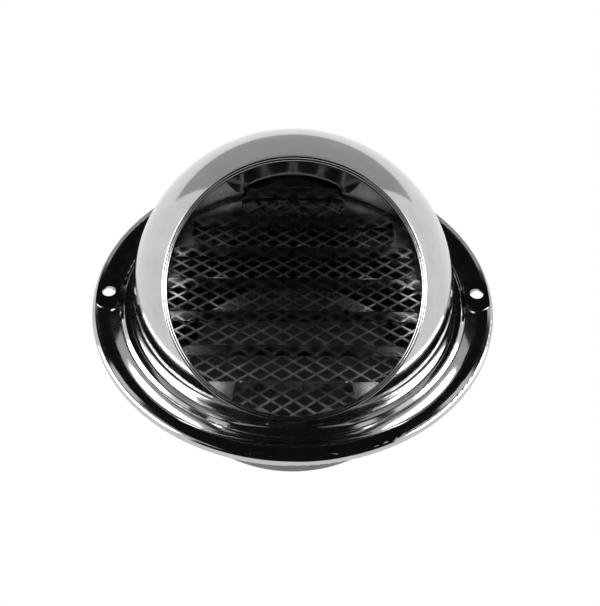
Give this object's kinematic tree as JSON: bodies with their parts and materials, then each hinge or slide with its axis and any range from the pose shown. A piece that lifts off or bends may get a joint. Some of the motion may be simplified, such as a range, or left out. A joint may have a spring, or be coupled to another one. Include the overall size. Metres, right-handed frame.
{
  "type": "hooded round vent",
  "caption": "Round ball-shaped vent hood with an angled mouth, louvres and insect mesh, on a screw-on flange with a duct spigot.",
  "frame": {"origin": "midway between the two screw holes, on the duct axis, level with the front of the screw pads", "axes": "+Z along the duct axis, away from the wall; +X along the line of the two screw holes; the mouth faces -Y and upwards"},
  "size_m": [0.15, 0.15, 0.112],
  "materials": {
    "hood_steel": "mirror polished stainless steel",
    "flange_steel": "mirror polished stainless steel",
    "spigot_steel": "mill finish stainless steel",
    "louvre_steel": "bright rolled stainless steel",
    "mesh_steel": "bright expanded stainless steel"
  },
  "bodies": {
    "root": {"hood": "hood_steel", "flange": "flange_steel", "spigot": "spigot_steel", "louvre_plate": "louvre_steel", "insect_mesh": "mesh_steel"}
  },
  "joints": []
}
